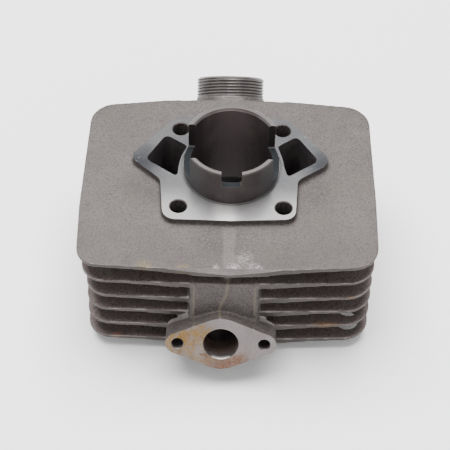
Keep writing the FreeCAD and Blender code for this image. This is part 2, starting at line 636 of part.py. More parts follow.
# ---- the liner ----------------------------------------------------------------------------------
liner = doc.addObject("PartDesign::Body", "liner")
liner.Label = "cylinder_liner"
sk = sketch_on(liner, "XZ_Plane", "liner_section")
ring(sk, [
    ("bore_r", "0", 0), ("liner_r", "0", 0), ("liner_r", "liner_top - mouth_out", 0),
    ("liner_r - mouth_out", "liner_top", 0), ("bore_r + mouth_in", "liner_top", 0), ("bore_r", "liner_top - mouth_in", 0),
])
tube = liner.newObject("PartDesign::Revolution", "liner_tube")
tube.Profile = sk
tube.ReferenceAxis = (sk, ["V_Axis"])
tube.Angle = 360
sk.Visibility = False
vol = volume_after(liner, 0, True, "liner")

# The spigot is notched for the transfer passages on both sides and for the connecting rod at the front.
sk = sketch_on(liner, "YZ_Plane", "side_notch_outline")
ring(sk, [("notch_side_front", "notch_side_floor", "notch_round"), ("notch_side_back", "notch_side_floor", "notch_round"), ("notch_side_back", "above", 0), ("notch_side_front", "above", 0)])
feature(liner, "Pocket", "side_notches", sk, "slab_y", midplane=True)
vol = volume_after(liner, vol, False, "side notches")
sk = sketch_on(liner, "XZ_Plane", "front_notch_outline")
ring(sk, [("-notch_front_half", "notch_front_floor", "notch_round"), ("notch_front_half", "notch_front_floor", "notch_round"), ("notch_front_half", "above", 0), ("-notch_front_half", "above", 0)])
feature(liner, "Pocket", "front_notch", sk, "reach", reverse=True)
vol = volume_after(liner, vol, False, "front notch")
assert liner.Shape.Solids[0].CenterOfMass.y > 0, "the front notch opens at -Y"

# Port windows: exhaust at +Y, intake at -Y, transfers at both sides.
sk = sketch_on(liner, "XZ_Plane", "exhaust_window_outline")
ring(sk, [("-port_exhaust_half", "port_exhaust_lo", "window_round"), ("port_exhaust_half", "port_exhaust_lo", "window_round"), ("port_exhaust_half", "port_exhaust_hi", "window_round"), ("-port_exhaust_half", "port_exhaust_hi", "window_round")])
feature(liner, "Pocket", "exhaust_window", sk, "reach")
was = liner.Shape.Solids[0].CenterOfMass.y
vol = volume_after(liner, vol, False, "exhaust window")
assert liner.Shape.Solids[0].CenterOfMass.y < was, "the exhaust window opens at +Y"
sk = sketch_on(liner, "XZ_Plane", "intake_window_outline")
ring(sk, [("flange_x - port_intake_half", "port_intake_lo", "window_round"), ("flange_x + port_intake_half", "port_intake_lo", "window_round"), ("flange_x + port_intake_half", "port_intake_hi", "window_round"), ("flange_x - port_intake_half", "port_intake_hi", "window_round")])
feature(liner, "Pocket", "intake_window", sk, "reach", reverse=True)
was = liner.Shape.Solids[0].CenterOfMass.y
vol = volume_after(liner, vol, False, "intake window")
assert liner.Shape.Solids[0].CenterOfMass.y > was, "the intake window opens at -Y"
sk = sketch_on(liner, "YZ_Plane", "transfer_window_outline")
ring(sk, [("1.5 - port_side_half", "port_side_lo", "window_round"), ("1.5 + port_side_half", "port_side_lo", "window_round"), ("1.5 + port_side_half", "port_side_hi", "window_round"), ("1.5 - port_side_half", "port_side_hi", "window_round")])
feature(liner, "Pocket", "transfer_windows", sk, "slab_y", midplane=True)
vol = volume_after(liner, vol, False, "transfer windows")

# ---- what is written ----------------------------------------------------------------------------
doc.recompute()
for o in doc.Objects:
    assert "Invalid" not in o.State and "Error" not in o.State, (o.Name, o.State)
os.makedirs("parts", exist_ok=True)
for body in (jacket, liner):
    shape = body.Shape
    assert not shape.isNull() and shape.isValid() and len(shape.Solids) == 1, body.Label
for body in (jacket, liner):
    body.Shape.exportStep(f"parts/{body.Label}.step")
    print(body.Label, round(body.Shape.Volume), body.Shape.BoundBox)
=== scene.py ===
import math

import bmesh
import bpy
import numpy as np
from mathutils import Matrix, Vector


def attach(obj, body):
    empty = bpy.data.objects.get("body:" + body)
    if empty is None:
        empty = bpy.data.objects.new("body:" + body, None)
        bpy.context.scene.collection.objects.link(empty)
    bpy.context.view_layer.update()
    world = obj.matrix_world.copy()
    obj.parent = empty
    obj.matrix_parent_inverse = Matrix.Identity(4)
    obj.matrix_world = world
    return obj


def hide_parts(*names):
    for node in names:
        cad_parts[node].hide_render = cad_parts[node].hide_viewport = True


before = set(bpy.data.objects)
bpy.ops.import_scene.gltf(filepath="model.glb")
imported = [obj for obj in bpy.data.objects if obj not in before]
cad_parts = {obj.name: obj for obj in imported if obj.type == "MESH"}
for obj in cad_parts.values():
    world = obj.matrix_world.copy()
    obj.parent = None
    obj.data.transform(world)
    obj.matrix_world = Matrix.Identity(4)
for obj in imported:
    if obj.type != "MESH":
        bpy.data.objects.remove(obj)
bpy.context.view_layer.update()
scene = bpy.context.scene
MM = 0.001

# ---- camera -------------------------------------------------------------------------------------
# Three-quarter view from the intake side, 50 degrees above the fins.
cam_data = bpy.data.cameras.new("camera")
cam_data.sensor_width = 36.0
cam_data.sensor_fit = "HORIZONTAL"
cam_data.lens = 1782.3 / 450 * 36
cam_data.clip_start, cam_data.clip_end = 0.05, 20
cam = bpy.data.objects.new("camera", cam_data)
right = Vector((0.99983, 0.01020, 0.01650)).normalized()
forward = Vector((0.00612, 0.64290, -0.76594)).normalized()
up = right.cross(forward).normalized()
turn = Matrix((right, up, -forward)).transposed()
cam.matrix_world = Matrix.Translation((-0.0078, -0.5745, 0.7093)) @ turn.to_4x4()
scene.collection.objects.link(cam)
scene.camera = cam

# ---- numbers the casting shares with the frame, in millimetres ----------------------------------
DECK = 68.0
PLATE = 64.2
STUDS = [(25.0, 25.0), (-25.0, 25.0), (-25.0, -25.0), (25.0, -25.0)]
FLANGE_C = np.array([-3.6, -74.0, 25.0])
FLANGE_N = np.array([0.0, -math.cos(math.radians(20)), math.sin(math.radians(20))])
FLANGE_U = np.array([0.0, math.sin(math.radians(20)), math.cos(math.radians(20))])
RIM_C = np.array([-0.7, 69.57, 58.57])
RIM_N = np.array([0.0, math.cos(math.radians(40)), math.sin(math.radians(40))])
RIM_U = np.array([0.0, -math.sin(math.radians(40)), math.cos(math.radians(40))])
X_AXIS = np.array([1.0, 0.0, 0.0])


# ---- mesh helpers -------------------------------------------------------------------------------
def coords(mesh):
    out = np.empty(len(mesh.vertices) * 3)
    mesh.vertices.foreach_get("co", out)
    return out.reshape(-1, 3) / MM


def put_coords(mesh, p):
    mesh.vertices.foreach_set("co", (p * MM).ravel())
    mesh.update()


def solid(name, verts, faces):
    """A closed piece of geometry in millimetres, linked to the scene."""
    mesh = bpy.data.meshes.new(name)
    mesh.from_pydata([tuple(float(c) * MM for c in v) for v in verts], [], faces)
    bm = bmesh.new()
    bm.from_mesh(mesh)
    bmesh.ops.recalc_face_normals(bm, faces=bm.faces)
    bm.to_mesh(mesh)
    bm.free()
    o = bpy.data.objects.new(name, mesh)
    scene.collection.objects.link(o)
    return o


def lathe(profile, centre, axis, side, n=96):
    """A closed ring or plug: (distance along the axis, radius) pairs turned about it. Radius 0 closes it."""
    centre, axis, side = (np.asarray(a, float) for a in (centre, axis, side))
    other = np.cross(axis, side)
    verts, faces, rows = [], [], []
    for s, r in profile:
        if r <= 0:
            rows.append([len(verts)] * n)
            verts.append(centre + axis * s)
        else:
            rows.append(list(range(len(verts), len(verts) + n)))
            for k in range(n):
                a = 2 * math.pi * k / n
                verts.append(centre + axis * s + (side * math.cos(a) + other * math.sin(a)) * r)
    closed = profile[0][1] > 0
    for i in range(len(rows) if closed else len(rows) - 1):
        a, b = rows[i], rows[(i + 1) % len(rows)]
        for k in range(n):
            m = (k + 1) % n
            f = []
            for v in (a[k], a[m], b[m], b[k]):
                if v not in f:
                    f.append(v)
            if len(f) > 2:
                faces.append(f)
    return verts, faces


def box(lo, hi, centre=(0, 0, 0), axes=((1, 0, 0), (0, 1, 0), (0, 0, 1))):
    centre, axes = np.asarray(centre, float), np.asarray(axes, float)
    verts = [centre + axes[0] * x + axes[1] * y + axes[2] * z for x in (lo[0], hi[0]) for y in (lo[1], hi[1]) for z in (lo[2], hi[2])]
    return verts, [(0, 1, 3, 2), (4, 6, 7, 5), (0, 4, 5, 1), (2, 3, 7, 6), (0, 2, 6, 4), (1, 5, 7, 3)]


def together(parts):
    verts, faces = [], []
    for v, f in parts:
        k = len(verts)
        verts += list(v)
        faces += [[i + k for i in g] for g in f]
    return verts, faces


def applied(o):
    """Turns the object's modifiers into its mesh."""
    mesh = bpy.data.meshes.new_from_object(o.evaluated_get(bpy.context.evaluated_depsgraph_get()))
    o.modifiers.clear()
    old, o.data = o.data, mesh
    bpy.data.meshes.remove(old)


def combine(o, tool, operation):
    m = o.modifiers.new("combine", "BOOLEAN")
    m.operation, m.object, m.solver = operation, tool, "MANIFOLD"
    applied(o)
    bpy.data.objects.remove(tool)
    assert len(o.data.polygons) > 1000, operation


def lattice(p, seed):
    """Smooth value noise in 0..1 on a unit lattice."""
    i = np.floor(p).astype(np.int64)
    f = p - i
    f = f * f * (3 - 2 * f)
    total = 0.0
    for dx in (0, 1):
        for dy in (0, 1):
            for dz in (0, 1):
                h = (i[:, 0] + dx) * 73856093 ^ (i[:, 1] + dy) * 19349663 ^ (i[:, 2] + dz) * 83492791 ^ seed * 2654435761
                h = (h ^ (h >> 13)) * 1274126177 & 0x7FFFFFFF
                h = (h ^ (h >> 15)) & 0xFFFF
                w = np.where(dx, f[:, 0], 1 - f[:, 0]) * np.where(dy, f[:, 1], 1 - f[:, 1]) * np.where(dz, f[:, 2], 1 - f[:, 2])
                total = total + w * h / 65535.0
    return total


def near_axis(p, centre, axis, r0, r1, lo, hi):
    """Which points lie in a ring about an axis, and their nearest points on it."""
    d = p - centre
    s = d @ axis
    foot = centre + np.outer(s, axis)
    r = np.linalg.norm(p - foot, axis=1)
    return (r > r0) & (r < r1) & (s > lo) & (s < hi), foot, r


# ---- the casting --------------------------------------------------------------------------------
def make_jacket():
    """The casting as it leaves the mould and the machine: soft edges and an uneven skin on what was cast, crisp
    edges where a tool has been."""
    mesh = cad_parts["finned_jacket"].data.copy()
    o = bpy.data.objects.new("cast_jacket", mesh)
    scene.collection.objects.link(o)
    bm = bmesh.new()
    bm.from_mesh(mesh)
    bmesh.ops.remove_doubles(bm, verts=bm.verts, dist=1e-6)
    bm.to_mesh(mesh)
    bm.free()
    p = coords(mesh)
    # Stock for the machining.
    inside = (np.abs(p[:, 0]) < 53) & (p[:, 1] > -36) & (p[:, 1] < 36)
    high, low = inside & (p[:, 2] > DECK - 0.7), p[:, 2] < 0.5
    for sx, sy in STUDS:
        hit, foot, r = near_axis(p, np.array([sx, sy, 0.0]), np.array([0, 0, 1.0]), 3.5, 4.6, -1, 70)
        p[hit] = foot[hit] + (p[hit] - foot[hit]) / r[hit][:, None] * 3.4
    hit, foot, r = near_axis(p, np.zeros(3), np.array([0, 0, 1.0]), 22.9, 23.1, -1, 70)
    p[hit] = foot[hit] + (p[hit] - foot[hit]) / r[hit][:, None] * 22.3
    p[high, 2] = DECK + 1.0
    p[low, 2] = -1.0
    for centre, r0 in ((FLANGE_C, 8.3), (FLANGE_C + X_AXIS * 20.6, 2.75), (FLANGE_C - X_AXIS * 20.6, 2.75)):
        hit, foot, r = near_axis(p, centre, FLANGE_N, r0 - 0.05, r0 + 0.05, -13.9 if r0 > 5 else -14.3, 0.1)
        p[hit] = foot[hit] + (p[hit] - foot[hit]) / r[hit][:, None] * (r0 - 0.6)
    d = (p - FLANGE_C) @ FLANGE_N
    front = (d > -0.05) & (p[:, 1] < -60)
    p[front] += FLANGE_N * 1.0
    hit, foot, r = near_axis(p, RIM_C, RIM_N, 12.3, 12.7, -20.3, 0.1)
    p[hit] = foot[hit] + (p[hit] - foot[hit]) / r[hit][:, None] * 13.3
    put_coords(mesh, p)

    m = o.modifiers.new("skin", "REMESH")
    m.mode, m.voxel_size, m.adaptivity = "VOXEL", 0.5 * MM, 0.0
    applied(o)
    p = coords(o.data)

    # Fillets: the foot of the gasket pad, and where the fins run into the intake duct.
    group = o.vertex_groups.new(name="fillet")
    foot_of_pad = (np.abs(p[:, 2] - PLATE) < 2.2) & (np.abs(p[:, 0]) < 54) & (p[:, 1] > -38) & (p[:, 1] < 38) & (np.hypot(p[:, 0], p[:, 1]) > 24)
    beside_duct = ((np.abs(p[:, 0] + 19.0) < 4.5) | (np.abs(p[:, 0] - 14.2) < 4.5)) & (p[:, 1] < -46) & (p[:, 2] < 55) & (p[:, 1] > -66)
    behind_flange = (p[:, 1] < -54) & (p[:, 2] < 45) & ((p - FLANGE_C) @ FLANGE_N < -10) & (np.abs(p[:, 0] + 2) < 24)
    stub_foot = (p[:, 1] > 38) & (p[:, 1] < 64) & (np.abs(p[:, 0]) < 26) & (p[:, 2] > 52)
    where = foot_of_pad | beside_duct | behind_flange | stub_foot
    group.add([int(i) for i in np.nonzero(where)[0]], 1.0, "REPLACE")
    m = o.modifiers.new("fillets", "SMOOTH")
    m.factor, m.iterations, m.vertex_group = 0.6, 16, "fillet"
    m = o.modifiers.new("edges", "SMOOTH")
    m.factor, m.iterations = 0.5, 2
    applied(o)
    o.vertex_groups.clear()
    mesh = o.data
    p = coords(mesh)
    n = np.empty(len(mesh.vertices) * 3)
    mesh.vertices.foreach_get("normal", n)
    n = n.reshape(-1, 3)

    # The uneven skin: only ever below the drawn surface.
    sink = 0.07 * lattice(p / 16.0, 1) + 0.018 * lattice(p / 4.5, 2) + 0.012 * lattice(p / 1.7, 3)
    # A few nicks in the edges of the fins.
    edge = np.clip((np.maximum(np.abs(p[:, 0]) - 66, 0) + np.maximum(-p[:, 1] - 57, 0)) / 3, 0, 1) * (p[:, 1] > -62)
    sink += edge * 0.5 * np.clip(lattice(p / 2.2, 4) - 0.86, 0, 1) / 0.14
    out = -sink
    # The flash line of the mould halves, wandering down the front of the intake duct.
    line_x = np.interp(p[:, 2], [30, 36, 41, 47, 55, 63], [-5.0, -4.6, -3.4, -1.5, -0.6, -0.4])
    on_front = (p[:, 1] < -55.5) & (p[:, 2] > 28) & (p[:, 2] < 53)
    out += np.where(on_front, 0.6 * np.exp(-((p[:, 0] - line_x) / 0.6) ** 2), 0.0)
    # The core print's witness lines down both sides of the duct.
    side_line = np.minimum(np.abs(p[:, 0] + 16.6), np.abs(p[:, 0] - 11.9))
    out += np.where(on_front & (p[:, 2] > 33), 0.35 * np.exp(-(side_line / 0.5) ** 2), 0.0)
    p += n * out[:, None]
    put_coords(mesh, p)

    m = o.modifiers.new("thin", "DECIMATE")
    faces = len(mesh.polygons) * 2
    m.ratio = min(1.0, 150000 / faces)
    m.use_collapse_triangulate = True
    applied(o)
    print("skin", faces, len(o.data.polygons))

    # Machining: the gasket faces, the flange face, the place of the stub's thread.
    side = np.cross(RIM_N, X_AXIS)
    combine(o, solid("planes", *together([
        box((-58, -42, DECK), (58, 40, DECK + 4)),
        box((-90, -90, -5), (90, 90, 0)),
        box((-45, -45, 0), (45, 45, 6), FLANGE_C, (X_AXIS, FLANGE_U, FLANGE_N)),
        box((-30, -30, -10.5), (30, 30, 8), RIM_C, (X_AXIS, side, RIM_N)),
    ])), "DIFFERENCE")
    stud = [(-2, 0), (-2, 4.45 + 2), (0.45, 4.0), (DECK - 0.45, 4.0), (DECK + 2, 4.45 + 2), (DECK + 2, 0)]
    holes = [lathe(stud, (x, y, 0), (0, 0, 1), (1, 0, 0), 48) for x, y in STUDS]
    holes.append(lathe([(-3, 0), (-3, 23.02), (DECK + 3, 23.02), (DECK + 3, 0)], (0, 0, 0), (0, 0, 1), (1, 0, 0), 160))
    holes.append(lathe([(DECK - 0.6, 23.5), (DECK - 0.6, 24.3), (DECK + 2, 24.3), (DECK + 2, 23.5)], (0, 0, 0), (0, 0, 1), (1, 0, 0), 160))
    holes.append(lathe([(-13, 0), (-13, 8.3), (-0.35, 8.3), (0, 8.6), (2, 8.6), (2, 0)], FLANGE_C, FLANGE_N, X_AXIS, 96))
    for s in (-1, 1):
        holes.append(lathe([(-15, 0), (-15, 2.75), (-0.4, 2.75), (0, 3.1), (2, 3.1), (2, 0)], FLANGE_C + X_AXIS * 20.6 * s, FLANGE_N, X_AXIS, 40))
    combine(o, solid("drills", *together(holes)), "DIFFERENCE")

    # The stub's threaded end: a helix with a V profile, six turns, between the rim's chamfer and the run-out.
    n_around, pitch, depth = 112, 1.5, 0.8
    rows = [0.0, 0.45, 0.9] + list(np.arange(1.0, 10.41, 0.15)) + [10.6, 13.0]
    outer = []
    for s in rows:
        for k in range(n_around):
            a = k / n_around
            t = (s / pitch - a) % 1.0
            v = max(0.0, 1 - abs(t - 0.5) / 0.36)
            fade = min(1.0, max(0.0, (s - 1.0) / 0.6), max(0.0, (10.2 - s) / 0.5))
            limit = 17.0 - 0.9 * (1 - min(1.0, s / 0.9))
            outer.append(min(limit, 17.0 - depth * v * fade))
    verts, faces = [], []
    for i, s in enumerate(rows):
        for k in range(n_around):
            a = 2 * math.pi * k / n_around
            u = X_AXIS * math.cos(a) + RIM_U * math.sin(a)
            verts.append(RIM_C - RIM_N * s + u * outer[i * n_around + k])
    for i in range(len(rows) - 1):
        for k in range(n_around):
            m = (k + 1) % n_around
            faces.append((i * n_around + k, i * n_around + m, (i + 1) * n_around + m, (i + 1) * n_around + k))
    base = len(verts)
    inner = [(13.0, 12.5), (0.4, 12.5), (0.0, 12.9)]
    for s, r in inner:
        for k in range(n_around):
            a = 2 * math.pi * k / n_around
            verts.append(RIM_C - RIM_N * s + (X_AXIS * math.cos(a) + RIM_U * math.sin(a)) * r)
    last = (len(rows) - 1) * n_around
    chain = [last, base, base + n_around, base + 2 * n_around, 0]
    for a, b in zip(chain[:-1], chain[1:]):
        for k in range(n_around):
            m = (k + 1) % n_around
            faces.append((a + k, a + m, b + m, b + k))
    combine(o, solid("thread", verts, faces), "UNION")
    print("jacket faces", len(o.data.polygons))
    return o


jacket = make_jacket()


# ---- which face belongs to which finish ---------------------------------------------------------
def finish_faces(o, names):
    mesh = o.data
    mesh.materials.clear()
    for name in names:
        mesh.materials.append(bpy.data.materials[name])
    k = len(mesh.polygons)
    c, n = np.empty(k * 3), np.empty(k * 3)
    mesh.polygons.foreach_get("center", c)
    mesh.polygons.foreach_get("normal", n)
    c, n = c.reshape(-1, 3) / MM, n.reshape(-1, 3)
    index = np.zeros(k, dtype=np.int32)
    r = np.hypot(c[:, 0], c[:, 1])
    index[(np.abs(c[:, 2] - DECK) < 0.02) & (n[:, 2] > 0.9) & (np.abs(c[:, 0]) < 56) & (c[:, 1] < 40)] = 1
    index[(np.abs(c[:, 2]) < 0.02) & (n[:, 2] < -0.9)] = 1
    d = (c - FLANGE_C) @ FLANGE_N
    index[(np.abs(d) < 0.03) & (c[:, 1] < -60)] = 2
    for centre, axis, radius, lo, hi in (
        [(np.array([x, y, 0.0]), np.array([0, 0, 1.0]), 4.7, -1, 69) for x, y in STUDS]
        + [(FLANGE_C, FLANGE_N, 8.65, -14.1, -0.02), (FLANGE_C + X_AXIS * 20.6, FLANGE_N, 3.15, -15.1, -0.02), (FLANGE_C - X_AXIS * 20.6, FLANGE_N, 3.15, -15.1, -0.02)]
    ):
        hit, _, _ = near_axis(c, centre, axis, -1, radius, lo, hi)
        index[hit & (index != 1)] = 3
    index[(r < 24.35) & (index == 0) & (c[:, 2] > 60)] = 1
    hit, _, rr = near_axis(c, RIM_C, RIM_N, 11, 17.1, -10.45, 0.1)
    index[hit] = 4
    # Cored passages: the transfer wells, the intake behind its bore and the exhaust.
    wells = (np.abs(c[:, 0]) > 21.3) & (np.abs(c[:, 0]) < 42.5) & (c[:, 1] > -6.5) & (c[:, 1] < 21.2) & (c[:, 2] > 32.5) & (c[:, 2] < DECK - 0.03)
    facing = np.abs(n[:, 2]) < 0.95
    toward = (c[:, 0] - np.sign(c[:, 0]) * 31.5) * n[:, 0] + (c[:, 1] - 8.0) * n[:, 1] < 0
    index[wells & (toward | (c[:, 2] < 36)) & (index == 0) & (facing | (c[:, 2] < 36))] = 5
    hit, _, rr = near_axis(c, RIM_C, RIM_N, -1, 14.2, -70, -12.9)
    index[hit & (index == 0)] = 5
    behind = (np.abs(c[:, 0] + 3.6) < 9.0) & (d < -13.9) & (c[:, 1] < -22) & (r > 20)
    path = np.array([(-74 + 13.2, 20.2), (-54.7, 19.2), (-47, 21.3), (-40.5, 26.0), (-30, 39.5), (-21, 51.0)])
    near = np.full(k, 99.0)
    for a, b in zip(path[:-1], path[1:]):
        q = c[:, 1:] - a
        t = np.clip(q @ (b - a) / ((b - a) @ (b - a)), 0, 1)
        near = np.minimum(near, np.hypot(np.linalg.norm(q - np.outer(t, b - a), axis=1), c[:, 0] + 3.6))
    index[behind & (near < 9.0) & (index == 0)] = 5
    mesh.polygons.foreach_set("material_index", index)
    mesh.polygons.foreach_set("use_smooth", np.ones(k, dtype=bool))
    mesh.set_sharp_from_angle(angle=math.radians(38))
    mesh.update()


# ---- materials ----------------------------------------------------------------------------------
class Nodes:
    """A short way of writing a node material."""

    def __init__(self, name, metallic=0.0):
        self.m = bpy.data.materials.new(name)
        self.m.use_nodes = True
        self.t = self.m.node_tree
        self.p = self.t.nodes["Principled BSDF"]
        self.p.inputs["Metallic"].default_value = metallic
        self.place = self.t.nodes.new("ShaderNodeTexCoord").outputs["Object"]
        self.normal = self.t.nodes.new("ShaderNodeNewGeometry").outputs["Normal"]
        xyz = self.t.nodes.new("ShaderNodeSeparateXYZ")
        self.t.links.new(self.place, xyz.inputs[0])
        self.x, self.y, self.z = (self.math("MULTIPLY", xyz.outputs[i], 1000.0) for i in range(3))
        nxyz = self.t.nodes.new("ShaderNodeSeparateXYZ")
        self.t.links.new(self.normal, nxyz.inputs[0])
        self.nx, self.ny, self.nz = nxyz.outputs

    def put(self, socket, v):
        if isinstance(v, bpy.types.NodeSocket):
            self.t.links.new(v, socket)
        elif v is not None:
            if isinstance(v, (tuple, list)):
                v = tuple(v) + ((1.0,) if len(v) == 3 and len(socket.default_value) == 4 else ())
            socket.default_value = v

    def math(self, op, a, b=None, clamp=False):
        n = self.t.nodes.new("ShaderNodeMath")
        n.operation, n.use_clamp = op, clamp
        self.put(n.inputs[0], a)
        if b is not None:
            self.put(n.inputs[1], b)
        return n.outputs[0]

    def noise(self, per_mm, detail=3.0, rough=0.55, distortion=0.0, at=None, stretch=None):
        n = self.t.nodes.new("ShaderNodeTexNoise")
        n.inputs["Scale"].default_value = per_mm * 1000.0
        n.inputs["Detail"].default_value = detail
        n.inputs["Roughness"].default_value = rough
        n.inputs["Distortion"].default_value = distortion
        src = at or self.place
        if stretch:
            m = self.t.nodes.new("ShaderNodeMapping")
            m.inputs["Scale"].default_value = stretch
            self.t.links.new(src, m.inputs["Vector"])
            src = m.outputs[0]
        self.t.links.new(src, n.inputs["Vector"])
        return n.outputs["Fac"]

    def cells(self, per_mm, random=1.0):
        n = self.t.nodes.new("ShaderNodeTexVoronoi")
        n.inputs["Scale"].default_value = per_mm * 1000.0
        n.inputs["Randomness"].default_value = random
        self.t.links.new(self.place, n.inputs["Vector"])
        return n.outputs["Distance"]

    def step(self, v, lo, hi, a=0.0, b=1.0):
        n = self.t.nodes.new("ShaderNodeMapRange")
        n.interpolation_type = "SMOOTHSTEP"
        for i, w in ((0, v), (1, lo), (2, hi), (3, a), (4, b)):
            self.put(n.inputs[i], w)
        return n.outputs[0]

    def mix(self, fac, a, b, how="MIX"):
        n = self.t.nodes.new("ShaderNodeMix")
        n.data_type, n.blend_type = "RGBA", how
        self.put(n.inputs[0], fac)
        self.put(n.inputs[6], a)
        self.put(n.inputs[7], b)
        return n.outputs[2]

    def spot(self, x, y, z, radius, soft=0.5, wobble=None, amount=1.0):
        """1 inside a ball about a point in millimetres, 0 outside it."""
        d = self.math("ADD", self.math("ADD", self.square(self.x, x), self.square(self.y, y)), self.square(self.z, z))
        d = self.math("SQRT", d)
        if wobble is not None:
            d = self.math("ADD", d, self.math("MULTIPLY", self.math("SUBTRACT", wobble, 0.5), amount))
        return self.step(d, radius * (1 - soft), radius, 1.0, 0.0)

    def square(self, v, c):
        d = self.math("SUBTRACT", v, c)
        return self.math("MULTIPLY", d, d)

    def bump(self, height, distance, strength=1.0, under=None):
        n = self.t.nodes.new("ShaderNodeBump")
        n.inputs["Strength"].default_value = strength
        n.inputs["Distance"].default_value = distance
        self.t.links.new(height, n.inputs["Height"])
        if under is not None:
            self.t.links.new(under, n.inputs["Normal"])
        return n.outputs[0]

    def edges(self, radius):
        """How sharply the surface turns here: about 0 on a flat, towards 1 on an edge."""
        n = self.t.nodes.new("ShaderNodeBevel")
        n.samples = 4
        n.inputs["Radius"].default_value = radius * MM
        d = self.t.nodes.new("ShaderNodeVectorMath")
        d.operation = "DOT_PRODUCT"
        self.t.links.new(n.outputs[0], d.inputs[0])
        self.t.links.new(self.normal, d.inputs[1])
        return self.math("SUBTRACT", 1.0, d.outputs["Value"])

    def finish(self, color, rough, normal=None):
        self.put(self.p.inputs["Base Color"], color)
        self.put(self.p.inputs["Roughness"], rough)
        if normal is not None:
            self.t.links.new(normal, self.p.inputs["Normal"])
        return self.m


